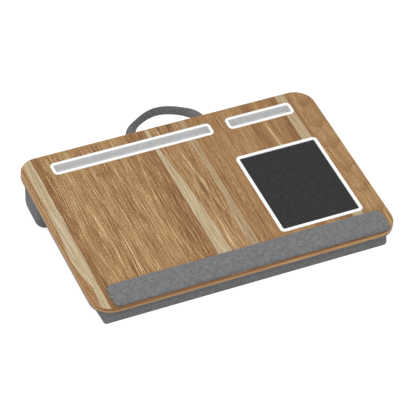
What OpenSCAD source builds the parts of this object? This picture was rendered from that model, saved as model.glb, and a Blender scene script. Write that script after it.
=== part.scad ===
// Cushioned lap desk: a wood-grain board with a tablet slot, a phone slot, a framed mouse pad
// and a wrist rest, carried on two fabric bolsters that slope it down towards the user.
// Millimetres, +Z up, +Y away from the user. The origin is on the floor, under the middle of
// the desk and its handle. The board and all that is fixed to it are drawn flat, with X from
// the board's middle, Y from its front edge and Z = 0 on its top, and on_slope() tilts them.

/* [Board] */
// Width of the board, left to right
board_w = 600; // [560:5:700]
// Depth of the board, front to back
board_d = 400; // [370:5:480]
// Radius of the board's corners in plan
corner_r = 39; // [20:1:60]
// Thickness of the fibreboard core
core_t = 9; // [8:0.5:12]
// Thickness of the wood-grain laminate on the core
laminate_t = 0.4; // [0.3:0.1:0.8]
// Thickness of the balancing sheet under the core
backing_t = 0.2; // [0.2:0.1:0.6]
// Thickness of the edge band, measured outwards
band_t = 1.2; // [0.8:0.1:2]
// Radius on the edge band's two long edges
band_edge_r = 1; // [0.3:0.1:2]

/* [Stand] */
// Slope of the board towards the user, in degrees
tilt = 8; // [6:0.5:10]
// Height of the board's top above the floor at its front edge
front_height = 41; // [38:1:55]

/* [Slots] */
// Clear width of both slots, front to back
slot_w = 19.4; // [14:0.2:22]
// Depth of both slots below the board's top
slot_depth = 16; // [14:0.5:22]
// Clear length of the phone slot
phone_slot_l = 125.4; // [90:0.2:140]
// From the board's left edge to the lip of the tablet slot
tablet_margin = 58.4; // [40:0.2:80]
// From the board's right edge to the lip of the phone slot
phone_margin = 49.2; // [40:0.2:60]
// Between the lips of the two slots
slot_spacing = 31.2; // [20:0.2:45]
// From the board's back edge to the middle line of the slots
slot_setback = 40.6; // [36:0.2:44]
// Radius of the slots' inner corners
slot_corner_r = 3; // [2:0.5:4]
// Width of the slots' lips
slot_lip_w = 5.8; // [4:0.2:8]
// Wall and floor thickness of the moulded trays
tray_wall = 1.5; // [1:0.1:2]

/* [Moulded trim] */
// Height of the white lips above the board
lip_h = 1.2; // [0.8:0.1:2]
// Radius on the lips' top edges
lip_edge_r = 0.5; // [0.2:0.1:0.7]
// Gap round a moulded part in its cut-out
fit_gap = 0.3; // [0.2:0.05:0.5]
// Distance between two of the crush ribs that centre a tray in the board
rib_pitch = 42; // [25:1:60]

/* [Mouse pad] */
// Clear width of the mouse pad, left to right
pad_w = 155; // [120:1:180]
// Clear depth of the mouse pad, front to back
pad_d = 193.6; // [140:0.2:205]
// Radius of the mouse pad's corners
pad_corner_r = 2.5; // [1.5:0.5:6]
// Width of the mouse pad's white frame
frame_w = 6.5; // [5:0.5:10]
// From the board's right edge to the frame
pad_margin = 42.2; // [30:0.2:60]
// From the back of the wrist rest to the frame
pad_spacing = 11.5; // [8:0.5:18]
// Thickness of the textured sheet of the mouse pad
pad_sheet_t = 0.8; // [0.5:0.1:1.5]
// Thickness of the foam under that sheet
pad_foam_t = 1.8; // [1:0.2:3]
// Thickness of the frame's skirt in the board's pocket
skirt_t = 1.4; // [1:0.1:2]

/* [Wrist rest] */
// Depth of the wrist rest, front to back
wrist_d = 51.5; // [40:0.5:60]
// Height of the wrist rest above the board
wrist_h = 8; // [6:0.5:14]
// Board left bare on the left of the wrist rest
wrist_left = 34; // [20:1:50]
// Board left bare on the right of the wrist rest
wrist_right = 16; // [8:1:40]
// Board left bare in front of the wrist rest
wrist_front = 2.5; // [2:0.5:10]
// Radius of the wrist rest's corners in plan
wrist_corner_r = 11; // [8:1:20]
// Radius of the wrist rest's top edges
wrist_edge_r = 4; // [2:0.5:5]
// How far the ends of the wrist rest bow outwards
wrist_bow = 3; // [0:0.5:6]
// Thickness of the stiff strip under the wrist rest's foam
wrist_strip_t = 1; // [0.8:0.1:1.6]

/* [Cushion] */
// Thickness of the cushion's base panel, which follows the board's outline
panel_t = 3; // [2:0.5:4]
// Thickness of the cushion's fabric
fabric_t = 1.2; // [0.8:0.1:2]
// Gap between a fabric cover and its filling
fill_gap = 0.3; // [0.2:0.05:0.5]
// Gap round a tray where it passes through the cushion
pocket_gap = 1; // [0.5:0.1:2]

/* [Front bolster] */
// Depth of the front bolster, front to back
front_d = 108; // [80:1:130]
// From the board's front edge to the front bolster
front_inset = 7.5; // [4:0.5:16]
// From the board's side edges to the front bolster's ends
front_side_inset = 18; // [10:0.5:30]
// From the middle of the board to the middle of the front bolster
front_x = -1.5; // [-5:0.5:5]
// Radius of the front bolster's corners in plan, under the panel
front_plan_r = 14; // [10:1:20]
// Radius of the front bolster's bottom edges
front_edge_r = 6.5; // [4:0.5:13]
// Height of the seam between the front bolster's band and its base
front_seam_h = 4.5; // [3:0.5:13]

/* [Rear bolster] */
// Depth of the rear bolster under the panel, front to back
rear_d = 114; // [100:1:140]
// From the board's back edge to the rear bolster
rear_inset = 12; // [10:0.5:24]
// From the board's side edges to the rear bolster's ends
rear_side_inset = 6; // [5:0.5:30]
// Radius of the rear bolster's corners in plan, under the panel
rear_plan_r = 28; // [18:1:34]
// Radius of the rear bolster's bottom edge at the back and at its ends
rear_edge_r = 29; // [16:0.5:34]
// Radius of the rear bolster's bottom edge at the front
rear_front_r = 20; // [14:0.5:30]
// How far the bottom edge at the front stands back from the panel's edge
rear_slope = 23; // [8:1:30]
// Depth of the end panels of the rear bolster's cover
rear_end_w = 24; // [20:1:40]

/* [Handle] */
// Width of the webbing
strap_w = 17.5; // [15:0.5:25]
// Thickness of the webbing
strap_t = 2; // [1.4:0.1:2.2]
// Distance between the middles of the handle's two ends
strap_span = 138; // [110:1:170]
// Reach of the handle's middle line behind the board
strap_reach = 48; // [40:1:70]
// Radius of the middle line next to the two ends
strap_bend_r = 21.5; // [16:0.5:32]
// Twist of the webbing at the middle of the handle, in degrees
strap_twist = 72; // [30:1:75]
// Length over which the webbing turns from flat to its full twist
strap_twist_l = 40; // [30:1:60]
// From the middle of the board to the middle of the handle
strap_x = 7; // [-20:1:20]
// Length of each sewn end between the board and the cushion
strap_tail = 20; // [14:0.5:22]
// From the board's back edge to the line on which the handle folds
strap_fold = 2; // [1.6:0.1:4]

/* [Hidden] */

$fn = 64;
// Facets on the balls that round the bolsters
ball_fn = 32;
// Excess of a cut past the faces it opens, and thickness of a sheet that is cut off again
over = 1;
// Clearance of a soft piece from its neighbour
touch_gap = 0.3;

// Total thickness of the laminated board
board_t = laminate_t + core_t + backing_t;
// Underside of the cushion's base panel, from the board's top
panel_z = -(board_t + panel_t);

// The tablet slot takes the width that the margins and the phone slot leave
phone_lip_l = phone_slot_l + 2 * slot_lip_w;
tablet_lip_l = board_w - tablet_margin - slot_spacing - phone_lip_l - phone_margin;
tablet_slot_l = tablet_lip_l - 2 * slot_lip_w;
tablet_x = -board_w / 2 + tablet_margin + tablet_lip_l / 2;
phone_x = board_w / 2 - phone_margin - phone_lip_l / 2;
slot_y = board_d - slot_setback;
// Middle, clear length of each slot, so that every layer is cut from the same values
SLOTS = [[tablet_x, tablet_slot_l], [phone_x, phone_slot_l]];
// Radius of a crush rib, and how far it stands out of its tray's wall
rib_r = tray_wall / 2;
rib_h = fit_gap - 0.05;

// The mouse pad lies behind the wrist rest
pad_x = board_w / 2 - pad_margin - frame_w - pad_w / 2;
pad_y = wrist_front + wrist_d + pad_spacing + frame_w + pad_d / 2;
pad_pocket = pad_sheet_t + pad_foam_t;

wrist_w = board_w - wrist_left - wrist_right;
wrist_x = (wrist_left - wrist_right) / 2;
wrist_y = wrist_front + wrist_d / 2;

// Middle line of the handle: a three-centred arch, drawn in the board's plane
strap_a = strap_span / 2;
arch_r = (pow(strap_a - strap_bend_r, 2) + pow(strap_reach - strap_fold, 2)
          - pow(strap_bend_r, 2)) / (2 * (strap_reach - strap_fold - strap_bend_r));
arch_h = strap_reach - strap_fold;
// Angle at which the end arcs run into the main arc
arch_join = atan2(arch_r - arch_h, strap_a - strap_bend_r);
bend_l = strap_bend_r * arch_join * PI / 180;
main_l = arch_r * (90 - arch_join) * PI / 180;
strap_l = 2 * (bend_l + main_l);
// Number of steps along the handle
strap_steps = 48;
strap_z = -board_t - touch_gap / 2 - strap_t / 2;

// The slope is set so that the origin lies midway between the band's foremost point and the
// hindmost corner of the webbing at the handle's middle
front_nose = min(band_edge_r, band_t) * (cos(tilt) + sin(tilt) - 1);
back_reach = board_d + strap_reach + (strap_w * cos(strap_twist) + strap_t * sin(strap_twist)) / 2;
back_rise = strap_z + (strap_w * sin(strap_twist) - strap_t * cos(strap_twist)) / 2;
slope_y = -(front_nose + back_reach * cos(tilt) - back_rise * sin(tilt)) / 2;

// Puts what is drawn flat on the slope of the finished desk
module on_slope() {
    translate([0, slope_y, front_height]) rotate([tilt, 0, 0]) children();
}

// Rectangle with round corners, centred on the origin
module round_rect(w, d, r, $fn = $fn) {
    square([w, d - 2 * r], center = true);
    square([w - 2 * r, d], center = true);
    for (x = [-1, 1], y = [-1, 1])
        translate([x * (w / 2 - r), y * (d / 2 - r)]) circle(r);
}

// Sweeps a profile round a rectangle with corners of radius r. The profile's X is measured
// outwards from the corners' centres, so x = r follows the rectangle itself.
module sweep_rect(w, d, r) {
    for (turn = [0 : 3]) {
        along = turn % 2 == 0 ? d : w;
        across = turn % 2 == 0 ? w : d;
        rotate(90 * turn) {
            translate([across / 2 - r, along / 2 - r])
                rotate_extrude(angle = 90) children();
            translate([across / 2 - r, along / 2 - r])
                rotate([90, 0, 0]) linear_extrude(along - 2 * r) children();
        }
    }
}

// The board's outline, less an inset all round
module board_outline(inset = 0) {
    translate([0, board_d / 2])
        round_rect(board_w - 2 * inset, board_d - 2 * inset, corner_r - inset);
}

// The openings for both trays, with the gap that a layer keeps round them
module slot_holes(gap) {
    grow = tray_wall + gap;
    for (slot = SLOTS)
        translate([slot[0], slot_y])
            round_rect(slot[1] + 2 * grow, slot_w + 2 * grow, slot_corner_r + grow);
}

// The mouse pad's outline, grown or shrunk all round
module pad_outline(grow = 0) {
    translate([pad_x, pad_y]) round_rect(pad_w + 2 * grow, pad_d + 2 * grow, pad_corner_r + grow);
}

module desk_board() {
    color("burlywood") on_slope() difference() {
        translate([0, 0, -laminate_t - core_t])
            linear_extrude(core_t) difference() {
                board_outline(band_t);
                slot_holes(fit_gap);
            }
        translate([0, 0, -laminate_t - pad_pocket])
            linear_extrude(pad_pocket + over) pad_outline(skirt_t + fit_gap);
    }
}

module wood_grain_laminate() {
    color("peru") on_slope() translate([0, 0, -laminate_t])
        linear_extrude(laminate_t) difference() {
            board_outline(band_t);
            slot_holes(fit_gap);
            pad_outline(skirt_t + fit_gap);
        }
}

module edge_band() {
    r = min(band_edge_r, band_t);
    color("tan") on_slope() translate([0, board_d / 2])
        sweep_rect(board_w, board_d, corner_r) intersection() {
            translate([corner_r - band_t, -board_t]) square([band_t, board_t]);
            translate([corner_r - band_t - r, -board_t / 2])
                round_rect(2 * (band_t + r), board_t, r, $fn = 32);
        }
}

module balancing_sheet() {
    color("tan") on_slope() translate([0, 0, -board_t])
        linear_extrude(backing_t) difference() {
            board_outline(band_t);
            slot_holes(fit_gap);
        }
}

// Cross-section of a lip that rests on the board, from the opening's edge outwards
module lip_profile(r, w) {
    translate([r, 0]) square([w, lip_h - lip_edge_r]);
    translate([r + lip_edge_r, 0]) square([w - 2 * lip_edge_r, lip_h]);
    for (x = [lip_edge_r, w - lip_edge_r])
        translate([r + x, lip_h - lip_edge_r]) circle(lip_edge_r, $fn = 24);
}

// Moulded tray: a lip that rests on the board, a tub through it, and crush ribs on the tub
module slot_tray(x, l) {
    rib_n = floor((l - rib_pitch / 2) / rib_pitch);
    on_slope() translate([x, slot_y]) difference() {
        union() {
            sweep_rect(l, slot_w, slot_corner_r) lip_profile(slot_corner_r, slot_lip_w);
            translate([0, 0, -slot_depth - tray_wall])
                linear_extrude(slot_depth + tray_wall + lip_h / 2)
                    round_rect(l + 2 * tray_wall, slot_w + 2 * tray_wall, slot_corner_r + tray_wall);
            for (side = [-1, 1], i = [0 : rib_n])
                translate([(i - rib_n / 2) * rib_pitch,
                           side * (slot_w / 2 + tray_wall + rib_h - rib_r), -laminate_t - core_t])
                    cylinder(h = core_t, r = rib_r, $fn = 24);
        }
        translate([0, 0, -slot_depth]) linear_extrude(slot_depth + lip_h + over)
            round_rect(l, slot_w, slot_corner_r);
    }
}

module tablet_tray() { color("white") slot_tray(tablet_x, tablet_slot_l); }

module phone_tray() { color("white") slot_tray(phone_x, phone_slot_l); }

module mouse_pad_frame() {
    r = pad_corner_r;
    color("white") on_slope() translate([pad_x, pad_y])
        sweep_rect(pad_w, pad_d, r) {
            lip_profile(r, frame_w);
            translate([r, -laminate_t - pad_pocket])
                square([skirt_t, laminate_t + pad_pocket + lip_h / 2]);
        }
}

module mouse_pad_sheet() {
    color("dimgray") on_slope() translate([0, 0, -laminate_t - pad_sheet_t])
        linear_extrude(pad_sheet_t) pad_outline(-touch_gap);
}

module mouse_pad_foam() {
    color("black") on_slope() translate([0, 0, -laminate_t - pad_pocket])
        linear_extrude(pad_foam_t) pad_outline(-touch_gap);
}

// The wrist rest's form, less an inset: a round-edged slab with bowed ends
module wrist_form(inset = 0) {
    r = wrist_corner_r - inset;
    e = wrist_edge_r - inset;
    w = wrist_w - 2 * wrist_bow - 2 * inset;
    d = wrist_d - 2 * inset;
    h = wrist_h - inset;
    mid = wrist_bow + w / 2 - r;
    translate([wrist_x, wrist_y]) hull() {
        for (x = [-1, 1]) {
            for (y = [-1, 1]) translate([x * (w / 2 - r), y * (d / 2 - r)]) {
                cylinder(h = h - e, r = r, $fn = 32);
                for (step = [30, 60, 90])
                    translate([0, 0, h - e])
                        cylinder(h = e * sin(step), r = r - e + e * cos(step), $fn = 32);
            }
            translate([x * mid, 0]) {
                cylinder(h = h - e, r = r, $fn = 32);
                translate([0, 0, h - e]) cylinder(h = e * sin(60), r = r - e + e * cos(60), $fn = 32);
            }
        }
    }
}

module wrist_rest_strip() {
    inset = fabric_t + touch_gap;
    color("gainsboro") on_slope() translate([wrist_x, wrist_y]) linear_extrude(wrist_strip_t)
        round_rect(wrist_w - 2 * wrist_bow - 2 * inset, wrist_d - 2 * inset, wrist_corner_r - inset);
}

module wrist_rest_foam() {
    color("khaki") on_slope() intersection() {
        wrist_form(fabric_t + fill_gap);
        translate([wrist_x - wrist_w / 2, 0, wrist_strip_t])
            cube([wrist_w, wrist_d + 2 * wrist_front, wrist_h]);
    }
}

module wrist_rest_cover() {
    color("gray") on_slope() difference() {
        wrist_form();
        wrist_form(fabric_t);
        translate([wrist_x, wrist_y, -over]) linear_extrude(over + wrist_strip_t)
            round_rect(wrist_w - 2 * wrist_bow - 2 * fabric_t, wrist_d - 2 * fabric_t,
                       wrist_corner_r - fabric_t);
    }
}

// Places of the handle's two ends across the board
module at_strap_ends() {
    for (side = [-1, 1]) translate([strap_x + side * strap_a, 0]) children();
}

module cushion_panel() {
    color("gray") on_slope() difference() {
        translate([0, 0, panel_z]) linear_extrude(panel_t) difference() {
            board_outline();
            slot_holes(pocket_gap);
        }
        at_strap_ends()
            translate([-strap_w / 2 - touch_gap, board_d - strap_tail - touch_gap,
                       strap_z - (strap_t + touch_gap) / 2])
                cube([strap_w + 2 * touch_gap, strap_tail + touch_gap + over, panel_t]);
    }
}

// Everything below the cushion's base panel
module under_panel() {
    on_slope() translate([-board_w, -board_d, panel_z - 2 * board_d])
        cube([2 * board_w, 3 * board_d, 2 * board_d]);
}

// Height of a point of the slope above the floor, and its place front to back
function slope_h(y, z) = front_height + y * sin(tilt) + z * cos(tilt);
function slope_d(y, z) = slope_y + y * cos(tilt) - z * sin(tilt);

// Ball with a point exactly at its foot, so that a bolster's base lies on the floor
module ball(r) {
    rotate_extrude($fn = ball_fn) intersection() {
        circle(r, $fn = ball_fn);
        translate([0, -r]) square([r, 2 * r]);
    }
}

// A bolster's outer form, less an inset: its outline on the base panel, blended into four
// balls that stand on the floor
module bolster(half_w, front, back, plan_r, r_front, r_back, slope, inset) {
    y1 = slope_d(front, panel_z) + inset + slope;
    y2 = slope_d(back, panel_z) - inset;
    intersection() {
        hull() {
            on_slope() translate([0, (front + back) / 2, panel_z]) linear_extrude(over)
                round_rect(2 * (half_w - inset), back - front - 2 * inset, plan_r - inset, $fn = 32);
            for (x = [-1, 1]) {
                translate([x * (half_w - r_front), y1 - inset + r_front, r_front]) ball(r_front - inset);
                translate([x * (half_w - r_back), y2 + inset - r_back, r_back]) ball(r_back - inset);
            }
        }
        under_panel();
    }
}

module front_form(inset = 0) {
    translate([front_x, 0])
        bolster(board_w / 2 - front_side_inset, front_inset, front_inset + front_d,
                front_plan_r, front_edge_r, front_edge_r, 0, inset);
}

module rear_form(inset = 0) {
    bolster(board_w / 2 - rear_side_inset, board_d - rear_inset - rear_d, board_d - rear_inset,
            rear_plan_r, rear_front_r, rear_edge_r, rear_slope, inset);
}

// Splits a cover at a height above the floor
module floor_slab(h) {
    translate([-board_w, -board_d, 0]) cube([2 * board_w, 2 * board_d, h]);
}

module front_cover() {
    difference() {
        front_form();
        front_form(fabric_t);
    }
}

module front_bolster_band() {
    color("gray") difference() {
        front_cover();
        translate([0, 0, -over]) floor_slab(front_seam_h + over);
    }
}

module front_bolster_base() {
    color("gray") intersection() {
        front_cover();
        floor_slab(front_seam_h);
    }
}

module front_bolster_foam() {
    color("khaki") front_form(fabric_t + fill_gap);
}

module rear_cover() {
    difference() {
        rear_form();
        rear_form(fabric_t);
    }
}

// The stretch of the rear bolster between its two end panels
module rear_middle() {
    w = board_w - 2 * (rear_side_inset + rear_end_w);
    translate([-w / 2, -board_d, -over]) cube([w, 2 * board_d, board_d]);
}

module rear_bolster_wrap() {
    color("gray") intersection() {
        rear_cover();
        rear_middle();
    }
}

module rear_bolster_ends() {
    color("gray") difference() {
        rear_cover();
        rear_middle();
    }
}

module rear_bolster_filling() {
    color("khaki") difference() {
        rear_form(fabric_t + fill_gap);
        on_slope() translate([0, 0, -slot_depth - tray_wall - pocket_gap])
            linear_extrude(slot_depth) slot_holes(pocket_gap);
    }
}

module handle_tails() {
    color("dimgray") on_slope() at_strap_ends()
        translate([-strap_w / 2, board_d - strap_tail, strap_z - strap_t / 2])
            cube([strap_w, strap_tail + strap_fold - strap_t / 2 - touch_gap, strap_t]);
}

// Middle line of the handle at a distance s from its left end: [x, y, heading in degrees]
function left_half(s) =
    s < bend_l
    ? let (a = s / strap_bend_r * 180 / PI)
      [-strap_a + strap_bend_r - strap_bend_r * cos(a), strap_bend_r * sin(a), 90 - a]
    : let (a = arch_join + (s - bend_l) / arch_r * 180 / PI)
      [-arch_r * cos(a), arch_h - arch_r + arch_r * sin(a), 90 - a];
function mid_line(s) =
    s <= strap_l / 2 ? left_half(s)
    : let (p = left_half(strap_l - s)) [-p[0], p[1], -p[2]];
// Twist of the webbing at a distance s from its left end
function twist_at(s) =
    let (t = min(1, min(s, strap_l - s) / strap_twist_l)) strap_twist * t * t * (3 - 2 * t);
// Four corners of the webbing's cross-section at a distance s from its left end
function strap_section(s) =
    let (p = mid_line(s), q = twist_at(s),
         out = [-sin(p[2]) * cos(q), cos(p[2]) * cos(q), sin(q)],
         up = [sin(p[2]) * sin(q), -cos(p[2]) * sin(q), cos(q)])
    [for (c = [[1, 1], [1, -1], [-1, -1], [-1, 1]])
        [p[0], p[1], 0] + out * c[0] * strap_w / 2 + up * c[1] * strap_t / 2];

module handle_strap() {
    points = [for (i = [0 : strap_steps]) each strap_section(strap_l * i / strap_steps)];
    last = 4 * strap_steps;
    sides = [for (i = [0 : strap_steps - 1], k = [0 : 3])
        let (a = 4 * i + k, b = 4 * i + (k + 1) % 4) each [[a, b, b + 4], [a, b + 4, a + 4]]];
    color("dimgray") on_slope() translate([strap_x, board_d + strap_fold, strap_z]) {
        polyhedron(points, concat(sides, [[3, 2, 1, 0], [last, last + 1, last + 2, last + 3]]));
        for (side = [-1, 1]) translate([side * strap_a - strap_w / 2, 0])
            rotate([0, 90, 0]) cylinder(h = strap_w, r = strap_t / 2, $fn = 24);
    }
}

desk_board();
wood_grain_laminate();
edge_band();
balancing_sheet();
tablet_tray();
phone_tray();
mouse_pad_frame();
mouse_pad_sheet();
mouse_pad_foam();
wrist_rest_strip();
wrist_rest_foam();
wrist_rest_cover();
cushion_panel();
front_bolster_band();
front_bolster_base();
front_bolster_foam();
rear_bolster_wrap();
rear_bolster_ends();
rear_bolster_filling();
handle_tails();
handle_strap();
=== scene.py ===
# The finished look of a cushioned lap desk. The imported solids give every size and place, in
# metres, and each section below dresses one layer or trim of the desk in the order in which
# the desk is put together, from the board outwards to the cushions and the webbing handle.
import math
from bisect import bisect

import bmesh
import bpy
from mathutils import Matrix, Quaternion, Vector, noise
from mathutils.bvhtree import BVHTree
from mathutils.geometry import interpolate_bezier


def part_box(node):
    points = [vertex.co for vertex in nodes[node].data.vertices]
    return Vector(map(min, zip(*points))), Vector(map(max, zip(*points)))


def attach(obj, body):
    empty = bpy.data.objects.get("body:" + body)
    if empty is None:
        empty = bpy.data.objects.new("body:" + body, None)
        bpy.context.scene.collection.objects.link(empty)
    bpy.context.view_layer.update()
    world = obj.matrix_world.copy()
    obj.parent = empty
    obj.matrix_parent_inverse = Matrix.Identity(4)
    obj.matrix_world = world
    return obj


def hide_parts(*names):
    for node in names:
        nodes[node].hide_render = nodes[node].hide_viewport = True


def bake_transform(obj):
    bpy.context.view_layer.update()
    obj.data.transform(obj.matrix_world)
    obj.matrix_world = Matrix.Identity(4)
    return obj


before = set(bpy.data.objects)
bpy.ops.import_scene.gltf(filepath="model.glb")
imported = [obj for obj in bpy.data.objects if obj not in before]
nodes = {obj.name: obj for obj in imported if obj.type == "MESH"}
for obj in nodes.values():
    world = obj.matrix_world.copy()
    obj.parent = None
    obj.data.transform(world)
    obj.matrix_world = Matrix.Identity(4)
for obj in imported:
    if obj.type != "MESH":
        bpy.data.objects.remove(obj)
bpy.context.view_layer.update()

# The camera stands off the desk's left front corner, above it, with a long lens, a little
# rolled. It is set first, so that the desk is framed as in the photograph.
EYE = Vector((-1.529159, -3.287607, 2.866624))
AIM = Vector((-0.013317, -0.060965, 0.069213))
ROLL = math.radians(0.918)

camera = bpy.data.objects.new("camera", bpy.data.cameras.new("camera"))
camera.data.lens = 215.0
camera.data.clip_end = 30
camera.location = EYE
camera.rotation_mode = "QUATERNION"
camera.rotation_quaternion = (AIM - EYE).to_track_quat("-Z", "Y") @ Quaternion((0, 0, 1), ROLL)
bpy.context.scene.collection.objects.link(camera)
bpy.context.scene.camera = camera

# Fibreboard core: wood fibre pressed into a board, sanded, sawn to the outline and cut out
# for the trays. It only shows in the gaps round the trims, as an even, mottled, dull tan.
MM = 0.001
# What is fixed to the sloping board is measured flat, in millimetres: across from its left
# edge, along from its front edge, and above its top
TILT = math.radians(8)
BOARD_W = 600
BOARD_D = 400
BOARD_T = 9.6
BAND_T = 1.2

top_low, top_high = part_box("wood_grain_laminate")
SLOPE_Y = top_low.y - BAND_T * MM * math.cos(TILT)
SLOPE_Z = top_high.z - (BOARD_D - BAND_T) * MM * math.sin(TILT)
on_slope = (
    Matrix.Translation((0, SLOPE_Y, SLOPE_Z))
    @ Matrix.Rotation(TILT, 4, "X")
    @ Matrix.Scale(MM, 4)
    @ Matrix.Translation((-BOARD_W / 2, 0, 0))
)
off_slope = on_slope.inverted()


def srgb(code):
    """An sRGB hex colour as the linear colour that a shader takes."""
    parts = [int(code[i : i + 2], 16) / 255 for i in (1, 3, 5)]
    return [p / 12.92 if p <= 0.04045 else ((p + 0.055) / 1.055) ** 2.4 for p in parts] + [1.0]


def add(tree, kind, inputs=(), out=0, stops=(), **settings):
    """Adds one node with its settings and links, and returns the output that is asked for."""
    node = tree.nodes.new("ShaderNode" + kind)
    for name, value in settings.items():
        setattr(node, name, value)
    for name, value in inputs.items() if isinstance(inputs, dict) else enumerate(inputs):
        if isinstance(value, bpy.types.NodeSocket):
            tree.links.new(value, node.inputs[name])
        else:
            node.inputs[name].default_value = value
    for i, (place, value) in enumerate(stops):
        stop = node.color_ramp.elements[i] if i < 2 else node.color_ramp.elements.new(place)
        stop.position = place
        stop.color = srgb(value) if isinstance(value, str) else (value, value, value, 1)
    return node.outputs[out]


def finish_of(name, roughness, specular, **more):
    """A new material with one shader. Returns the material, its node tree and its shader."""
    material = bpy.data.materials.new(name)
    material.use_nodes = True
    tree = material.node_tree
    shader = tree.nodes["Principled BSDF"]
    shader.inputs["Roughness"].default_value = roughness
    shader.inputs["Specular IOR Level"].default_value = specular
    for socket, value in more.items():
        shader.inputs[socket.replace("_", " ")].default_value = value
    return material, tree, shader


def dress(name, material):
    """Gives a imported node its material, in every slot of its object."""
    for slot in nodes[name].material_slots:
        slot.material = material


def speckle(tree, shader, dark, light, grain_mm, relief_mm):
    """Even mottling between two colours, at the size of one grain, with a relief to match."""
    place = add(tree, "TexCoord", out="Object")
    grains = add(tree, "TexNoise", {"Vector": place, "Scale": 1 / (grain_mm * MM), "Detail": 3.0})
    colour = add(tree, "ValToRGB", (grains,), stops=[(0.3, dark), (0.7, light)])
    tree.links.new(colour, shader.inputs["Base Color"])
    bump = add(tree, "Bump", {"Height": grains, "Strength": 0.4, "Distance": relief_mm * MM})
    tree.links.new(bump, shader.inputs["Normal"])


fibreboard, tree, shader = finish_of("fibreboard_sanded", 0.85, 0.3)
speckle(tree, shader, "#A5834F", "#C6A774", 0.8, 0.05)
dress("desk_board", fibreboard)

# Wood-grain laminate: melamine paper printed with joined oak planks, glued on the core. The
# planks run from front to back, with pale sapwood along some joints, dark knots, arched
# figure, thin bright lines and fine pores, all under a satin film.
OAK_TONES = [
    (0.03, "#55320F"), (0.97, "#E8CFA2"), (0.26, "#7F5228"), (0.5, "#A57D4E"), (0.74, "#C9A978"),
]
SAP_TONES = [(0.1, "#8F7148"), (0.9, "#E2D5B7"), (0.4, "#BBA580"), (0.6, "#CCBC99")]
FIGURE_BROWN = srgb("#80552E")
JOINT_BROWN = srgb("#7C5029")
KNOT_BROWN = srgb("#5E3B22")
PORE_BROWN = srgb("#6F4725")
# Brown of the painted shade along the front edge, under the wrist rest
FRONT_SHADE_BROWN = srgb("#6A4322")
# Places across the board, and how light the print is there
PLANKS = [
    (0, 0.5), (29.9, 0.46), (30, 0.38), (55, 0.5), (205, 0.5), (232, 0.41), (258.9, 0.4), (259, 0.5),
    (341.9, 0.5), (342, 0.47), (448, 0.5), (460, 0.38), (470, 0.4), (484, 0.54), (502, 0.42),
    (530.9, 0.33), (531, 0.5), (552.9, 0.5), (553, 0.49), (600, 0.5),
]
JOINTS = [30, 259, 531, 553]
JOINT_FADE = 7.0
# The print is crisp in the planks on the left of this joint, and softer on its right
SOFT_FROM = 342
CRISP_LEFT = 1.35
CRISP_RIGHT = 0.85
# Width and length of the grain's waves, and how far they carry it sideways
SWAYS = [(60, 210, 16.0), (13, 80, 2.6)]
# Width and length of the print's features in millimetres, their finer detail, and their share
GRAIN = [(16, 460, 2.0, 0.3), (1.9, 150, 3.0, 0.56), (1.2, 50, 3.0, 1.05), (2.2, 4, 3.0, 0.62)]
# Spacing of thin lines along the grain, their half width as a share of it, and their share
RINGS = [(6.7, 0.12, 0.14), (4.1, 0.2, 0.12), (3.3, 0.2, -0.36)]
# How far along the board a thin line comes and goes, and how much the lines' spacing turns
RING_L = 130
RING_TURN = 3.0
# Left and right edge of each pale stretch, as places along and across the board, and how pale
SAPWOOD = [
    ([(0, 12), (40, 14), (60, 16), (80, 12), (105, 7), (130, 4), (190, 7), (270, 11), (400, 12)],
     [(0, 28), (120, 30), (400, 31)], 0.95),
    ([(0, 259), (400, 259)],
     [(0, 290), (100, 286), (180, 282), (240, 278), (280, 273), (345, 268), (400, 268)], 0.95),
    ([(0, 321), (140, 322), (180, 328), (260, 330), (400, 328)],
     [(0, 341.5), (400, 342)], 0.5),
    ([(0, 531), (400, 531)], [(0, 553), (400, 552)], 0.72),
]
SAP_WAVER = 8.0
# Bright lines that stand out: places along and across the board, and half their width
BRIGHT = [
    ([(190, 60), (250, 66), (390, 67)], 2.2),
    ([(205, 174), (275, 173), (300, 168), (350, 163)], 1.8),
    ([(262, 178), (300, 185), (345, 193)], 1.6),
    ([(95, 207), (150, 205), (200, 207), (250, 212), (345, 221)], 2.0),
    ([(185, 142), (262, 145)], 1.8),
    ([(55, 114), (185, 116)], 2.4),
    ([(40, 349), (170, 346)], 2.0),
    ([(140, 318), (330, 300)], 2.6),
    ([(60, 292), (200, 300)], 1.8),
    ([(250, 488), (340, 484)], 5.0),
    ([(30, 88), (150, 90), (235, 84)], 1.6),
]
BRIGHT_SHARE = 0.19
BRIGHT_WAVER = 5.0
BRIGHT_FADE = 18
# Arched figure in one plank: its middle across the board, its width and its spacing
ARCH_X = 362
ARCH_W = 11
ARCH_PITCH = 24
# Curls in the right-hand plank: their middle across the board, their width and their spacing
CURL_X = 577
CURL_W = 15
CURL_PITCH = 62
# Middle of each knot across and along the board, half its width and length, and its depth
KNOTS = [
    (303, 222, 3.4, 36, 0.9), (307.5, 391, 4.5, 16, 0.9), (285, 397, 3.6, 12, 0.8),
    (368, 116, 2.2, 30, 0.8), (106.5, 198, 1.6, 18, 0.8), (122, 172, 1.6, 14, 0.6),
    (311, 290, 2.2, 40, 0.5), (294, 176, 1.6, 22, 0.5),
]
PORE_W = 0.5
PORE_L = 7


def board_places(tree):
    """The flat place in millimetres at the shaded point: all of it, then its three parts."""
    flat = add(tree, "Mapping", {
        "Vector": add(tree, "TexCoord", out="Object"), "Location": off_slope.translation,
        "Rotation": (-TILT, 0, 0), "Scale": (1 / MM, 1 / MM, 1 / MM)})
    parts = add(tree, "SeparateXYZ", (flat,)).node.outputs
    return flat, parts[0], parts[1], parts[2]


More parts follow.
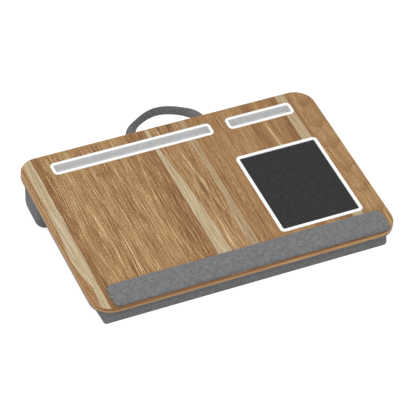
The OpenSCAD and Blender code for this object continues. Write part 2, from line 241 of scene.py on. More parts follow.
def line_across(tree, along, points):
    """How far across the board, in millimetres, a line drawn through these points lies."""
    stops = [(at / BOARD_D, over / BOARD_W) for at, over in points]
    # A ramp begins with its two end stops, so the last place comes second
    stops[1], stops[-1] = stops[-1], stops[1]
    place = add(tree, "ValToRGB", (along,), stops=stops)
    return add(tree, "Math", (place, BOARD_W), operation="MULTIPLY")


laminate, tree, shader = finish_of("oak_print_melamine", 0.48, 0.35)
flat, x, y, _ = board_places(tree)
across = add(tree, "Math", (x, 1 / BOARD_W), operation="MULTIPLY")
along = add(tree, "Math", (y, 1 / BOARD_D), operation="MULTIPLY")

# The grain wanders from side to side, slowly and in small waves
sway = -sum(reach for _, _, reach in SWAYS) / 2
for wide, long, reach in SWAYS:
    place = add(tree, "VectorMath", (flat, (1 / wide, 1 / long, 0)), operation="MULTIPLY")
    drift = add(tree, "TexNoise", {"Vector": place, "Scale": 1.0, "Detail": 1.0})
    sway = add(tree, "Math", (drift, reach, sway), operation="MULTIPLY_ADD")
bent = add(tree, "VectorMath", (flat, add(tree, "CombineXYZ", (sway,))), operation="ADD")
bent_x = add(tree, "Math", (x, sway), operation="ADD")

tone = add(tree, "ValToRGB", (across,), stops=[(at / BOARD_W, light) for at, light in PLANKS])
crisp = add(tree, "MapRange", (x, SOFT_FROM - 1, SOFT_FROM + 1, CRISP_LEFT, CRISP_RIGHT))
fields = []
for wide, long, detail, share in GRAIN:
    place = add(tree, "VectorMath", (bent, (1 / wide, 1 / long, 0)), operation="MULTIPLY")
    field = add(tree, "TexNoise", {"Vector": place, "Scale": 1.0, "Detail": detail, "Roughness": 0.6})
    part = add(tree, "Math", (field, share, -share / 2), operation="MULTIPLY_ADD")
    tone = add(tree, "Math", (part, crisp, tone), operation="MULTIPLY_ADD")
    fields.append(field)
_, streaks, fibres, _ = fields

# Thin lines along the growth rings, bright in some rings and dark in others
lines = 0.0
for pitch, width, share in RINGS:
    place = add(tree, "VectorMath", (flat, (1 / 42, 1 / 240, 0)), operation="MULTIPLY")
    turn = add(tree, "TexNoise", {"Vector": place, "Scale": 1.0, "Detail": 1.0})
    turn = add(tree, "Math", (turn, RING_TURN), operation="MULTIPLY")
    ring = add(tree, "Math", (bent_x, 1 / pitch, turn), operation="MULTIPLY_ADD")
    number = add(tree, "Math", (ring,), operation="FLOOR")
    within = add(tree, "Math", (ring,), operation="FRACT")
    middle = add(tree, "Math", (within, 0.5), operation="SUBTRACT")
    middle = add(tree, "Math", (middle,), operation="ABSOLUTE")
    line = add(tree, "MapRange", (middle, 0.02, width, share, 0.0), interpolation_type="SMOOTHSTEP")
    # A place of its own for each ring in one noise, so that the rings differ
    apart = add(tree, "Math", (number, 7.3), operation="MULTIPLY")
    far_along = add(tree, "Math", (y, 1 / RING_L), operation="MULTIPLY")
    place = add(tree, "CombineXYZ", (apart, far_along))
    strong = add(tree, "TexNoise", {"Vector": place, "Scale": 1.0, "Detail": 1.0})
    strong = add(tree, "MapRange", (strong, 0.42, 0.66, 0.0, 1.0))
    lines = add(tree, "Math", (line, strong, lines), operation="MULTIPLY_ADD")
tone = add(tree, "Math", (lines, crisp, tone), operation="MULTIPLY_ADD")

# Each bright line wavers a little with the streaks, and fades in and out at its ends
for points, half in BRIGHT:
    gap = add(tree, "Math", (line_across(tree, along, points), x), operation="SUBTRACT")
    gap = add(tree, "Math", (gap, -BRIGHT_WAVER / 2), operation="ADD")
    gap = add(tree, "Math", (streaks, BRIGHT_WAVER, gap), operation="MULTIPLY_ADD")
    gap = add(tree, "Math", (gap,), operation="ABSOLUTE")
    line = add(
        tree, "MapRange", (gap, 0.2, half, BRIGHT_SHARE, 0.0), interpolation_type="SMOOTHSTEP")
    start, end = points[0][0], points[-1][0]
    off = add(tree, "Math", (y, -(start + end) / 2), operation="ADD")
    off = add(tree, "Math", (off,), operation="ABSOLUTE")
    half_l = (end - start) / 2
    inside = add(tree, "MapRange", (off, half_l - BRIGHT_FADE, half_l, 1.0, 0.0))
    tone = add(tree, "Math", (line, inside, tone), operation="MULTIPLY_ADD")
wood = add(tree, "ValToRGB", (tone,), stops=OAK_TONES)

# Arched figure: nested curves, each the square of the place across from the figure's middle
place = add(tree, "VectorMath", (flat, (1 / 16, 1 / 26, 0)), operation="MULTIPLY")
wobble = add(tree, "TexNoise", {"Vector": place, "Scale": 1.0, "Detail": 2.0})
off = add(tree, "Math", (bent_x, 1 / ARCH_W, -ARCH_X / ARCH_W), operation="MULTIPLY_ADD")
climb = add(tree, "Math", (y, 1 / ARCH_PITCH), operation="MULTIPLY")
arch = add(tree, "Math", (off, off, climb), operation="MULTIPLY_ADD")
arch = add(tree, "Math", (wobble, 1.6, arch), operation="MULTIPLY_ADD")
turns = add(tree, "Math", (arch, 2 * math.pi), operation="MULTIPLY")
wave = add(tree, "Math", (turns,), operation="SINE")
wave = add(tree, "MapRange", (wave, 0.2, 1.0, 0.0, 1.0), interpolation_type="SMOOTHSTEP")
near = add(tree, "Math", (off,), operation="ABSOLUTE")
near = add(tree, "MapRange", (near, 1.2, 2.3, 0.42, 0.0))
share = add(tree, "Math", (wave, near), operation="MULTIPLY")
wood = add(tree, "Mix", {0: share, 6: wood, 7: FIGURE_BROWN}, out=2, data_type="RGBA")

# Curls: dark bows, each of which fades out towards the back
bow = add(tree, "Math", (x, 1 / CURL_W, -CURL_X / CURL_W), operation="MULTIPLY_ADD")
bow = add(tree, "Math", (bow, bow), operation="MULTIPLY")
bow = add(tree, "Math", (bow, -0.13), operation="MULTIPLY")
curl = add(tree, "Math", (y, 1 / CURL_PITCH, bow), operation="MULTIPLY_ADD")
curl = add(tree, "Math", (wobble, 0.5, curl), operation="MULTIPLY_ADD")
fade = add(tree, "Math", (curl,), operation="FRACT")
fade = add(tree, "MapRange", (fade, 0.0, 0.35, 1.0, 0.0))
right = add(tree, "MapRange", (x, 556.0, 572.0, 0.0, 0.55))
share = add(tree, "Math", (fade, right), operation="MULTIPLY")
wood = add(tree, "Mix", {0: share, 6: wood, 7: FIGURE_BROWN}, out=2, data_type="RGBA")

# Each joint is dark on its brown side, and the sapwood beside it is pale
for joint in JOINTS:
    gap = add(tree, "Math", (x, -joint), operation="ADD")
    gap = add(tree, "Math", (gap,), operation="ABSOLUTE")
    share = add(tree, "MapRange", (gap, 0.5, JOINT_FADE, 0.45, 0.0))
    wood = add(tree, "Mix", {0: share, 6: wood, 7: JOINT_BROWN}, out=2, data_type="RGBA")
pale = add(tree, "Math", (streaks, 0.6, -0.4), operation="MULTIPLY_ADD")
pale = add(tree, "Math", (fibres, 1.2, pale), operation="MULTIPLY_ADD")
pale = add(tree, "Math", (lines, 1.8, pale), operation="MULTIPLY_ADD")
sap = add(tree, "ValToRGB", (pale,), stops=SAP_TONES)
soft = add(tree, "Math", (streaks, SAP_WAVER, -SAP_WAVER / 2), operation="MULTIPLY_ADD")
for left, right, strength in SAPWOOD:
    sides = []
    for points, sign in ((left, 1), (right, -1)):
        depth = add(tree, "Math", (x, line_across(tree, along, points)), operation="SUBTRACT")
        depth = add(tree, "Math", (depth, sign), operation="MULTIPLY")
        # A straight edge is a joint, and any other edge wavers with the grain
        if len(points) > 2:
            depth = add(tree, "Math", (depth, soft), operation="ADD")
        sides.append(depth)
    depth = add(tree, "Math", sides, operation="MINIMUM")
    rim = add(tree, "MapRange", (depth, -3.0, -0.8, 0.0, 0.35 * strength))
    wood = add(tree, "Mix", {0: rim, 6: wood, 7: JOINT_BROWN}, out=2, data_type="RGBA")
    share = add(tree, "MapRange", (depth, -0.6, 1.0, 0.0, strength))
    wood = add(tree, "Mix", {0: share, 6: wood, 7: sap}, out=2, data_type="RGBA")

for over, at, half_w, half_l, strength in KNOTS:
    middle = (-over / half_w, -at / half_l, 0)
    reach = add(
        tree, "VectorMath", (bent, (1 / half_w, 1 / half_l, 0), middle), operation="MULTIPLY_ADD")
    reach = add(tree, "VectorMath", (reach,), out="Value", operation="LENGTH")
    share = add(tree, "MapRange", (reach, 0.1, 1.4, strength, 0.0))
    wood = add(tree, "Mix", {0: share, 6: wood, 7: KNOT_BROWN}, out=2, data_type="RGBA")

# Open pores are short dark dashes, and the strip along the front edge is darkened with painted shade,
# where the wrist rest shades it
place = add(tree, "VectorMath", (bent, (1 / PORE_W, 1 / PORE_L, 0)), operation="MULTIPLY")
pores = add(tree, "TexNoise", {"Vector": place, "Scale": 1.0, "Detail": 2.0})
share = add(tree, "MapRange", (pores, 0.56, 0.68, 0.0, 0.55))
wood = add(tree, "Mix", {0: share, 6: wood, 7: PORE_BROWN}, out=2, data_type="RGBA")
# Painted shade: the front few millimetres of the top, under the wrist rest's edge, are darkened
front = add(tree, "MapRange", (y, 1.4, 3.4, 0.7, 0.0))
wood = add(tree, "Mix", {0: front, 6: wood, 7: FRONT_SHADE_BROWN}, out=2, data_type="RGBA")
tree.links.new(wood, shader.inputs["Base Color"])
bump = add(tree, "Bump", {"Height": pores, "Strength": 0.25, "Distance": 0.08 * MM})
tree.links.new(bump, shader.inputs["Normal"])
dress("wood_grain_laminate", laminate)

# Edge band: ABS strip printed with oak, ironed round the board and rounded over. Its grain runs
# along the strip. At the front its top carries painted shade from the wrist rest, deeper to the left.
# Brown of the painted shade under the wrist rest
BAND_SHADE_BROWN = srgb("#744A26")
BAND_TONES = [(0.3, "#986939"), (0.7, "#D8B27C"), (0.5, "#BC8E58")]

band, tree, shader = finish_of("oak_print_abs_band", 0.45, 0.4)
_, x, y, z = board_places(tree)
along = add(tree, "CombineXYZ", (add(tree, "Math", (x, y), operation="SUBTRACT"), z))
tone = 0.0
for long, tall, share in ((70, 1.6, 0.75), (9, 0.6, 0.25)):
    place = add(tree, "VectorMath", (along, (1 / long, 1 / tall, 0)), operation="MULTIPLY")
    streaks = add(
        tree, "TexNoise", {"Vector": place, "Scale": 1.0, "Detail": 4.0, "Roughness": 0.6})
    tone = add(tree, "Math", (streaks, share, tone), operation="MULTIPLY_ADD")
colour = add(tree, "ValToRGB", (tone,), stops=BAND_TONES)
# Painted shade: the band's top at the front is darkened where the wrist rest shades it, reaching
# lower towards the left
shade_lowest = add(tree, "MapRange", (x, 40.0, 540.0, -5.5, -1.2))
above = add(tree, "Math", (z, shade_lowest), operation="SUBTRACT")
shaded_top = add(tree, "MapRange", (above, -0.8, 0.8, 0.0, 0.85))
front = add(tree, "MapRange", (y, 4.0, 30.0, 1.0, 0.25))
shaded_top = add(tree, "Math", (shaded_top, front), operation="MULTIPLY")
colour = add(tree, "Mix", {0: shaded_top, 6: colour, 7: BAND_SHADE_BROWN}, out=2, data_type="RGBA")
tree.links.new(colour, shader.inputs["Base Color"])
dress("edge_band", band)

# Balancing sheet: plain melamine paper glued under the core, tan and dull. It is shut in
# between the board and the cushion.
backing, tree, shader = finish_of("backing_paper", 0.8, 0.3)
speckle(tree, shader, "#A88A5C", "#BDA072", 1.5, 0.02)
dress("balancing_sheet", backing)

# Slot trays and mouse pad frame: white ABS, injection moulded. The lips are smooth enough to
# catch the light, and the tubs inside have the fine grain of a spark-eroded mould. Inside the
# tubs the white is painted light grey, as painted shade in the slots.
abs_trim, tree, shader = finish_of("white_abs_moulded", 0.36, 0.45)
place = add(tree, "TexCoord", out="Object")
z = board_places(tree)[3]
# Painted shade: below the lip, the white of the tubs turns light grey
inside = add(tree, "MapRange", (z, -0.4, 0.4, 1.0, 0.0))
cloud = add(tree, "TexNoise", {"Vector": place, "Scale": 60.0, "Detail": 3.0})
tub_shade_grey = add(tree, "ValToRGB", (cloud,), stops=[(0.3, "#D2D2D3"), (0.7, "#DADADA")])
colour = add(tree, "Mix", {0: inside, 6: srgb("#FFFFFE"), 7: tub_shade_grey}, out=2, data_type="RGBA")
tree.links.new(colour, shader.inputs["Base Color"])
grain = add(tree, "TexNoise", {"Vector": place, "Scale": 1 / (0.5 * MM), "Detail": 1.0})
relief = add(tree, "Math", (grain, inside), operation="MULTIPLY")
bump = add(tree, "Bump", {"Height": relief, "Strength": 0.2, "Distance": 0.05 * MM})
tree.links.new(bump, shader.inputs["Normal"])
for name in ("tablet_tray", "phone_tray", "mouse_pad_frame"):
    dress(name, abs_trim)

# Mouse pad: a thin vinyl sheet embossed with a fine leather grain, charcoal and dull, glued
# on black rubber foam inside its frame.
vinyl, tree, shader = finish_of("charcoal_embossed_vinyl", 0.75, 0.3)
place = add(tree, "TexCoord", out="Object")
cells = add(
    tree, "TexVoronoi", {"Vector": place, "Scale": 1 / (1.5 * MM)}, feature="DISTANCE_TO_EDGE")
mottle = add(
    tree, "TexNoise",
    {"Vector": place, "Scale": 1 / (3 * MM), "Detail": 5.0, "Roughness": 0.7})
colour = add(tree, "ValToRGB", (mottle,), stops=[(0.36, "#151515"), (0.66, "#353535")])
tree.links.new(colour, shader.inputs["Base Color"])
height = add(tree, "Math", (cells, mottle), operation="ADD")
bump = add(tree, "Bump", {"Height": height, "Strength": 0.4, "Distance": 0.2 * MM})
tree.links.new(bump, shader.inputs["Normal"])
dress("mouse_pad_sheet", vinyl)

rubber_foam, tree, shader = finish_of("black_rubber_foam", 0.95, 0.2)
speckle(tree, shader, "#141414", "#242424", 0.9, 0.3)
dress("mouse_pad_foam", rubber_foam)

# Wrist rest: foam on a stiff strip, wrapped in grey melange polyester and glued to the
# board's front. Pale and dark fibres are spun together, which gives soft flecks over a plain
# weave, which is drawn coarser than such a cloth's own, so that it shows.
THREAD = 0.9
CLOTH_TONES = [(0.32, "#58585A"), (0.68, "#929293"), (0.5, "#747475")]
# A stuffed form is blown up as cloth over this many frames, at this pressure
FRAMES = 20
PRESSURE = 4.0
WRIST_CROWN = 1.3
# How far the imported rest's ends bow, which the cover's firm corners take up, and how far the
# cover leans forwards over the strip
WRIST_BOW = 3
WRIST_FORWARD = 1.3

grey_fabric, tree, shader = finish_of(
    "grey_melange_polyester", 0.92, 0.25, Sheen_Weight=0.15, Sheen_Roughness=0.5)
cloth = add(tree, "UVMap", uv_map="cloth")
split = add(tree, "SeparateXYZ", (cloth,)).node
threads = []
for i in (0, 1):
    turns = add(tree, "Math", (split.outputs[i], 2 * math.pi / THREAD), operation="MULTIPLY")
    threads.append(add(tree, "Math", (turns,), operation="SINE"))
weave = add(tree, "Math", threads, operation="MULTIPLY")
place = add(tree, "TexCoord", out="Object")
tone = 0.0
for size, share in ((2.2, 0.55), (7.0, 0.45)):
    flecks = add(
        tree, "TexNoise",
        {"Vector": place, "Scale": 1 / (size * MM), "Detail": 4.0, "Roughness": 0.7})
    tone = add(tree, "Math", (flecks, share, tone), operation="MULTIPLY_ADD")
tone = add(tree, "Math", (weave, 0.03, tone), operation="MULTIPLY_ADD")
colour = add(tree, "ValToRGB", (tone,), stops=CLOTH_TONES)
tree.links.new(colour, shader.inputs["Base Color"])
height = add(tree, "Math", (weave, 0.5, tone), operation="MULTIPLY_ADD")
bump = add(tree, "Bump", {"Height": height, "Strength": 0.5, "Distance": 0.25 * MM})
tree.links.new(bump, shader.inputs["Normal"])


def link(name, mesh):
    """Puts a new piece with this mesh into the scene."""
    piece = bpy.data.objects.new(name, mesh)
    bpy.context.scene.collection.objects.link(piece)
    return piece


def merged_copy(name, node):
    """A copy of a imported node's mesh with its loose triangles joined, bare of materials."""
    mesh = nodes[node].data.copy()
    mesh.name = name
    mesh.materials.clear()
    shape = bmesh.new()
    shape.from_mesh(mesh)
    bmesh.ops.remove_doubles(shape, verts=shape.verts, dist=0.01 * MM)
    shape.to_mesh(mesh)
    shape.free()
    return mesh


def apply_modifiers(piece):
    """Turns what a piece's modifiers make of it into its mesh."""
    bpy.context.view_layer.update()
    graph = bpy.context.evaluated_depsgraph_get()
    old = piece.data
    mesh = bpy.data.meshes.new_from_object(piece.evaluated_get(graph))
    piece.modifiers.clear()
    piece.data = mesh
    bpy.data.meshes.remove(old)
    mesh.name = piece.name


def stuff(piece, voxel, cap, ease, smoothing, held):
    """Blows a closed form up as cloth from the inside, at most by cap, and eases it outwards."""
    remesh = piece.modifiers.new("Remesh", "REMESH")
    remesh.mode = "VOXEL"
    remesh.voxel_size = voxel * MM
    apply_modifiers(piece)
    start = [vertex.co.copy() for vertex in piece.data.vertices]
    pins = piece.vertex_groups.new(name="pins")
    pins.add([i for i, at in enumerate(start) if held(at)], 1.0, "REPLACE")
    cloth = piece.modifiers.new("Cloth", "CLOTH")
    cloth.settings.vertex_group_mass = "pins"
    cloth.settings.use_pressure = True
    cloth.settings.uniform_pressure_force = PRESSURE
    cloth.settings.effector_weights.gravity = 0
    cloth.settings.quality = 5
    cloth.point_cache.frame_start = 1
    cloth.point_cache.frame_end = FRAMES
    for number in range(1, FRAMES + 1):
        bpy.context.scene.frame_set(number)
    apply_modifiers(piece)
    bpy.context.scene.frame_set(1)
    piece.vertex_groups.clear()
    way = [vertex.normal.copy() for vertex in piece.data.vertices]
    for vertex, at, out in zip(piece.data.vertices, start, way):
        moved = vertex.co - at
        if moved.length > 1e-9:
            moved *= cap * MM * math.tanh(moved.length / (cap * MM)) / moved.length
        vertex.co = at + moved + out * ease * MM
    smooth = piece.modifiers.new("Smooth", "SMOOTH")
    smooth.iterations = smoothing
    finer = piece.modifiers.new("Subdivision", "SUBSURF")
    finer.levels = finer.render_levels = 1
    apply_modifiers(piece)


def clear(piece, node, gap):
    """Keeps every point of a cover at least gap millimetres outside its filling."""
    filling = nodes[node].data
    corners = [vertex.co for vertex in filling.vertices]
    near = BVHTree.FromPolygons(corners, [face.vertices for face in filling.polygons])
    for vertex in piece.data.vertices:
        at, normal, _, far = near.find_nearest(vertex.co)
        inside = (vertex.co - at).dot(normal) < 0
        if inside:
            vertex.co = at + normal * gap * MM
        elif far < gap * MM:
            vertex.co = at + (vertex.co - at).normalized() * gap * MM


def cover(piece):
    """Finishes a soft piece in the fabric, laid in millimetres along each face's nearest plane."""
    mesh = piece.data
    layer = mesh.uv_layers.new(name="cloth")
    for face in mesh.polygons:
        main = max(range(3), key=lambda i: abs(face.normal[i]))
        first, second = [i for i in range(3) if i != main]
        for corner in face.loop_indices:
            at = mesh.vertices[mesh.loops[corner].vertex_index].co
            layer.data[corner].uv = (at[first] / MM, at[second] / MM)
    mesh.materials.append(grey_fabric)
    mesh.shade_smooth()
    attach(piece, "root")


foam, tree, shader = finish_of("cream_polyurethane_foam", 0.95, 0.2)
speckle(tree, shader, "#C9BD95", "#E0D6B4", 1.2, 0.4)
strip, tree, shader = finish_of("stiffener_polypropylene", 0.6, 0.4)
speckle(tree, shader, "#B9B9B4", "#CFCFCA", 2.0, 0.02)
dress("wrist_rest_strip", strip)
dress("wrist_rest_foam", foam)

wrist_mesh = merged_copy("wrist_rest", "wrist_rest_foam")
places = [off_slope @ vertex.co for vertex in wrist_mesh.vertices]
least = [min(at[i] for at in places) for i in range(3)]
most = [max(at[i] for at in places) for i in range(3)]
low, high = least[2], most[2]
middle = Vector((most[0] + least[0], most[1] + least[1])) / 2
reach = Vector((most[0] - least[0], most[1] - least[1])) / 2
for vertex, at in zip(wrist_mesh.vertices, places):
    at.z = (at.z - low) / (high - low) * high
    over, along = (at.x - middle.x) / reach.x, (at.y - middle.y) / reach.y
    at.x += math.copysign(WRIST_BOW, over) * max(0, abs(over) * 10 - 9) * along * along
    at.y -= WRIST_FORWARD * max(0, -along)
    vertex.co = on_slope @ at
wrist_rest = link("wrist_rest", wrist_mesh)
stuff(wrist_rest, 2.0, WRIST_CROWN, 1.3, 1, lambda at: (off_slope @ at).z < 0.8)
clear(wrist_rest, "wrist_rest_foam", 0.5)
for vertex in wrist_rest.data.vertices:
    at = off_slope @ vertex.co
    at.z = max(at.z, 0.05)
    vertex.co = on_slope @ at
cover(wrist_rest)
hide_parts("wrist_rest_cover")

# Base panel of the cushion: stiff felt wrapped in the same fabric, glued under the board
# along its whole outline, so that its edge shows as a thin grey line with a soft corner.
PANEL_T = 3
PANEL_ROUND = 0.8
# Edges within this distance of the board's outline belong to the panel's own outline
PANEL_MARGIN = 15
UNDER_PANEL = -(BOARD_T + PANEL_T)

panel_mesh = merged_copy("base_panel", "cushion_panel")
shape = bmesh.new()
shape.from_mesh(panel_mesh)
bmesh.ops.dissolve_limit(shape, angle_limit=math.radians(0.5), verts=shape.verts, edges=shape.edges)
rim = []
for edge in shape.edges:
    ends = [off_slope @ vertex.co for vertex in edge.verts]
    outer = all(
        min(at.x, BOARD_W - at.x, at.y, BOARD_D - at.y) < PANEL_MARGIN for at in ends)
    if outer and max(at.z for at in ends) < UNDER_PANEL + 0.1:
        rim.append(edge)
bmesh.ops.bevel(
    shape, geom=rim, offset=PANEL_ROUND * MM, segments=3, profile=0.5, affect="EDGES", material=-1)
shape.to_mesh(panel_mesh)
shape.free()
base_panel = link("base_panel", panel_mesh)
cover(base_panel)
base_panel.data.set_sharp_from_angle(angle=math.radians(40))
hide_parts("cushion_panel")

# Front bolster: firm foam in a cover of a band and a base panel, glued under the base panel
# along the desk's front. The seam between band and base lies near the floor, pulled in a
# little and puckered by its stitches.
FRONT_SEAM_H = 4.5
COVER_T = 0.8
STITCH = 9.0
# How far to each side a seam draws the cover in
SEAM_REACH = 2.6
# Height above the base panel's underside to which a bolster's form is drawn, to be cut off there
SPARE = 16


def stuffed_cover(name, node, voxel, cap, ease):
    """The stuffed outside of a bolster, from its filling's outline, flat on the floor."""
    mesh = merged_copy(name, node)
    shape = bmesh.new()
    shape.from_mesh(mesh)
    for vertex in list(shape.verts):
        at = off_slope @ vertex.co
        if at.z > UNDER_PANEL - 2:
            at.z = UNDER_PANEL + SPARE
            shape.verts.new(on_slope @ at)
    hull = bmesh.ops.convex_hull(shape, input=shape.verts)
    spare = hull["geom_interior"] + hull["geom_unused"]
    spare = {item for item in spare if isinstance(item, bmesh.types.BMVert)}
    bmesh.ops.delete(shape, geom=list(spare), context="VERTS")
    keep = {item for item in hull["geom"] if item.is_valid and isinstance(item, bmesh.types.BMFace)}
    away = [face for face in shape.faces if face not in keep]
    bmesh.ops.delete(shape, geom=away, context="FACES")
    shape.to_mesh(mesh)
    shape.free()
    piece = link(name, mesh)
    stuff(
        piece, voxel, cap, ease, 3,
        lambda at: (off_slope @ at).z > UNDER_PANEL - 1.4 or at.z < 2.5 * MM)
    clear(piece, node, COVER_T + 0.4)
    floor_gap = min(vertex.co.z for vertex in piece.data.vertices)
    for vertex in piece.data.vertices:
        vertex.co.z -= floor_gap * max(0, 1 - vertex.co.z / (25 * MM))
        vertex.co.z = max(vertex.co.z, 0)
    shape = bmesh.new()
    shape.from_mesh(piece.data)
    everything = list(shape.verts) + list(shape.edges) + list(shape.faces)
    bmesh.ops.bisect_plane(
        shape, geom=everything, plane_co=on_slope @ Vector((0, 0, UNDER_PANEL - 0.05)),
        plane_no=on_slope.col[2].xyz, dist=1e-7, clear_outer=True)
    shape.to_mesh(piece.data)
    shape.free()
    return piece


def pull_seam(shape, point, normal):
    """Draws the surface in along a seam, puckered by its stitches."""
    for offset in (-SEAM_REACH, -1.3, -0.6, 0, 0.6, 1.3, SEAM_REACH):
        everything = list(shape.verts) + list(shape.edges) + list(shape.faces)
        bmesh.ops.bisect_plane(
            shape, geom=everything, plane_co=point + normal * offset * MM, plane_no=normal, dist=1e-7)
    shape.normal_update()
    for vertex in shape.verts:
        off = (vertex.co - point).dot(normal) / MM
        near = max(0, 1 - abs(off) / SEAM_REACH)
        if near:
            pucker = noise.noise(vertex.co / (STITCH * MM)) * 0.5
            vertex.co -= vertex.normal * near * near * (0.9 + pucker) * MM


def cut_panel(piece, name, keep):
    """One sewn panel of a cover: the faces that keep picks, given the fabric's thickness."""
    mesh = piece.data.copy()
    shape = bmesh.new()
    shape.from_mesh(mesh)
    away = [face for face in shape.faces if not keep(face.calc_center_median())]
    bmesh.ops.delete(shape, geom=away, context="FACES")
    shape.normal_update()
    shape.to_mesh(mesh)
    shape.free()
    panel = link(name, mesh)
    thick = panel.modifiers.new("Solidify", "SOLIDIFY")
    thick.thickness = COVER_T * MM
    thick.offset = -1
    apply_modifiers(panel)
    cover(panel)
    return panel


front = stuffed_cover("front_form", "front_bolster_foam", 4.0, 2.2, 0.6)
shape = bmesh.new()
shape.from_mesh(front.data)
pull_seam(shape, Vector((0, 0, FRONT_SEAM_H * MM)), Vector((0, 0, 1)))
shape.to_mesh(front.data)
shape.free()
front_band = cut_panel(front, "front_band", lambda at: at.z > FRONT_SEAM_H * MM)
front_base = cut_panel(front, "front_base", lambda at: at.z < FRONT_SEAM_H * MM)
bpy.data.objects.remove(front)
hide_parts("front_bolster_band")
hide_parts("front_bolster_base")
dress("front_bolster_foam", foam)

# Rear bolster: a bag of polystyrene beads, which rounds it out. One wrap goes round its long
# sides, and a panel closes each end.
REAR_SEAM_X = 270
beads, tree, shader = finish_of("white_polystyrene_beads", 0.8, 0.4)
speckle(tree, shader, "#DADAD6", "#F4F4F2", 3.0, 1.0)
dress("rear_bolster_filling", beads)

rear = stuffed_cover("rear_form", "rear_bolster_filling", 6.0, 2.6, 0.6)
shape = bmesh.new()
shape.from_mesh(rear.data)
for side in (-1, 1):
    pull_seam(shape, Vector((side * REAR_SEAM_X * MM, 0, 0)), Vector((1, 0, 0)))
shape.to_mesh(rear.data)
shape.free()
rear_wrap = cut_panel(rear, "rear_wrap", lambda at: abs(at.x) < REAR_SEAM_X * MM)
rear_ends = cut_panel(rear, "rear_ends", lambda at: abs(at.x) > REAR_SEAM_X * MM)
bpy.data.objects.remove(rear)
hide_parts("rear_bolster_wrap")
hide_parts("rear_bolster_ends")

# Handle: one length of grey polypropylene webbing, woven in a close twill with firm edges.
# Its ends are sewn in between board and cushion, and it twists along its arch until it stands
# almost on edge.
WEBBING_W = 17.5
WEBBING_T = 2.0
HANDLE_X = 307.3
HANDLE_Y = 402
HANDLE_Z = -10.75
HALF_SPAN = 72.1
ARCH_H = 46.3
TWIST = math.radians(73)
TWIST_L = 40.5
TAIL = 22
TAIL_LEAN = 2.2
RIB = 2.2
WEBBING_TONES = [(0.32, "#4A4A4B"), (0.68, "#8E8D8C"), (0.5, "#6B6A6A")]
# Pull of the curve at the hinge and at the top of the arch
RISE = Vector((-1.6, 13.2))
TOP_PULL = -33.3

webbing, tree, shader = finish_of("grey_polypropylene_webbing", 0.62, 0.35, Sheen_Weight=0.1)
cloth = add(tree, "UVMap", uv_map="cloth")
split = add(tree, "SeparateXYZ", (cloth,)).node
slant = add(tree, "Math", (split.outputs[1], 1.2, split.outputs[0]), operation="MULTIPLY_ADD")
waves = []
for source, pitch in ((slant, RIB), (split.outputs[1], 1.5)):
    turns = add(tree, "Math", (source, 2 * math.pi / pitch), operation="MULTIPLY")
    waves.append(add(tree, "Math", (turns,), operation="SINE"))
twill = add(tree, "Math", (waves[1], 0.3), operation="MULTIPLY")
twill = add(tree, "Math", (waves[0], 0.7, twill), operation="MULTIPLY_ADD")
fuzz = add(
    tree, "TexNoise", {"Vector": cloth, "Scale": 1 / 2.5, "Detail": 4.0, "Roughness": 0.7})
tone = add(tree, "Math", (twill, 0.09, fuzz), operation="MULTIPLY_ADD")
colour = add(tree, "ValToRGB", (tone,), stops=WEBBING_TONES)
tree.links.new(colour, shader.inputs["Base Color"])
bump = add(tree, "Bump", {"Height": twill, "Strength": 0.6, "Distance": 0.3 * MM})
tree.links.new(bump, shader.inputs["Normal"])

# The left half of the loop: a straight tail, then a curve that rises to the middle
foot = Vector((-HALF_SPAN, 0))
path = [foot + Vector((TAIL_LEAN, -TAIL))]
top = Vector((0, ARCH_H))
path += interpolate_bezier(foot, foot + RISE, Vector((TOP_PULL, ARCH_H)), top, 160)
far = [-TAIL]
for before, after in zip(path[:-1], path[1:]):
    far.append(far[-1] + (after - before).length)
loop_l = 2 * far[-1]


def half_arch(s):
    """Middle of the webbing and its heading, s millimetres from its left end at the hinge."""
    i = min(max(bisect(far, s), 1), len(path) - 1)
    share = (s - far[i - 1]) / (far[i] - far[i - 1])
    at = path[i - 1].lerp(path[i], share)
    way = path[i] - path[i - 1]
    return at.x, at.y, math.atan2(way.y, way.x)


def on_loop(s, across, up):
    """A point of the flat webbing carried to where it lies on the twisted loop."""
    x, y, heading = half_arch(min(s, loop_l - s))
    if s > loop_l / 2:
        x, heading = -x, -heading
    share = max(0, min(1, min(s, loop_l - s) / TWIST_L))
    turn = TWIST * share * share * (3 - 2 * share)
    aside = Vector((-math.sin(heading), math.cos(heading), 0))
    above = Vector((0, 0, 1))
    out = aside * math.cos(turn) + above * math.sin(turn)
    face = above * math.cos(turn) - aside * math.sin(turn)
    return on_slope @ (Vector((HANDLE_X + x, HANDLE_Y + y, HANDLE_Z)) + out * across + face * up)


length = loop_l + 2 * TAIL
shape = bmesh.new()
bmesh.ops.create_grid(shape, x_segments=230, y_segments=10, size=0.5)
bmesh.ops.scale(shape, verts=shape.verts, vec=(length, WEBBING_W, 1))
bmesh.ops.translate(shape, verts=shape.verts, vec=(length / 2 - TAIL, 0, WEBBING_T / 2))
bmesh.ops.solidify(shape, geom=shape.faces, thickness=WEBBING_T)
bmesh.ops.recalc_face_normals(shape, faces=shape.faces)
edges = [
    edge for edge in shape.edges
    if all(abs(abs(v.co.y) - WEBBING_W / 2) < 0.01 for v in edge.verts)
    and abs(edge.verts[0].co.z - edge.verts[1].co.z) < 0.01]
bmesh.ops.bevel(
    shape, geom=edges, offset=0.6, segments=3, profile=0.5, affect="EDGES", material=-1)
layer = shape.loops.layers.uv.new("cloth")
for face in shape.faces:
    for corner in face.loops:
        corner[layer].uv = (corner.vert.co.x, corner.vert.co.y + corner.vert.co.z)
for vertex in shape.verts:
    vertex.co = on_loop(*vertex.co)
webbing_mesh = bpy.data.meshes.new("handle_webbing")
shape.to_mesh(webbing_mesh)
shape.free()
webbing_mesh.materials.append(webbing)
webbing_mesh.shade_smooth()
handle = link("handle_webbing", webbing_mesh)
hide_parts("handle_strap", "handle_tails")
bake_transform(handle)

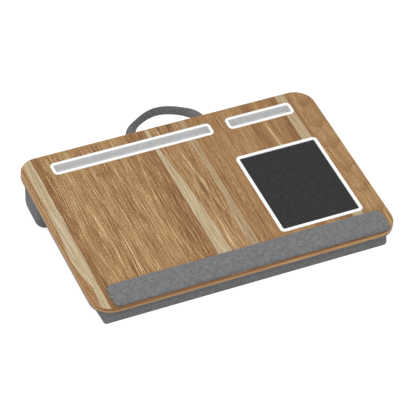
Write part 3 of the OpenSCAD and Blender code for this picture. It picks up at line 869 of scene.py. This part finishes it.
# Studio: a wide sheet of white paper under an even white surround, with one large soft lamp
# to the desk's left and front, above it.
LAMP_WAY = Vector((-0.3, -0.6, 0.7)).normalized()
LAMP_FAR = 4.0
FLOOR_GLOW = 0.84
floor_mesh = bpy.data.meshes.new("floor")
shape = bmesh.new()
bmesh.ops.create_grid(shape, x_segments=1, y_segments=1, size=20)
shape.to_mesh(floor_mesh)
shape.free()
paper = bpy.data.materials.new("white_backdrop_paper")
paper.use_nodes = True
tree = paper.node_tree
tree.nodes.clear()
ray = add(tree, "LightPath").node
seen = (ray.outputs["Is Camera Ray"], ray.outputs["Is Glossy Ray"])
seen = add(tree, "Math", seen, operation="MAXIMUM")
seen = add(tree, "Math", (seen, ray.outputs["Is Transmission Ray"]), operation="MAXIMUM")
colour = add(tree, "Mix", {0: seen, 6: srgb("#B4B4B4"), 7: srgb("#A0A0A0")}, out=2, data_type="RGBA")
diffuse = add(tree, "BsdfDiffuse", {"Color": colour})
strength = add(tree, "Math", (seen, FLOOR_GLOW), operation="MULTIPLY")
glow = add(tree, "Emission", {"Color": (1, 1, 1, 1), "Strength": strength})
output = tree.nodes.new("ShaderNodeOutputMaterial")
tree.links.new(add(tree, "AddShader", (diffuse, glow)), output.inputs["Surface"])
floor_mesh.materials.append(paper)
floor = link("floor", floor_mesh)

world = bpy.data.worlds.new("surround")
world.use_nodes = True
bpy.context.scene.world = world
tree = world.node_tree
backdrop = tree.nodes["Background"]
ray = add(tree, "LightPath").node
seen = (ray.outputs["Is Camera Ray"], ray.outputs["Is Glossy Ray"])
seen = add(tree, "Math", seen, operation="MAXIMUM")
seen = add(tree, "Math", (seen, ray.outputs["Is Transmission Ray"]), operation="MAXIMUM")
strength = add(tree, "Math", (seen, 0.28, 0.72), operation="MULTIPLY_ADD")
tree.links.new(strength, backdrop.inputs["Strength"])
backdrop.inputs["Color"].default_value = (1, 1, 1, 1)

lamp = bpy.data.objects.new("soft_lamp", bpy.data.lights.new("soft_lamp", "AREA"))
lamp.data.size = 2.0
lamp.data.energy = 64
lamp.location = LAMP_WAY * LAMP_FAR
lamp.rotation_mode = "QUATERNION"
lamp.rotation_quaternion = LAMP_WAY.to_track_quat("Z", "Y")
bpy.context.scene.collection.objects.link(lamp)

bpy.context.scene.view_settings.view_transform = "Standard"
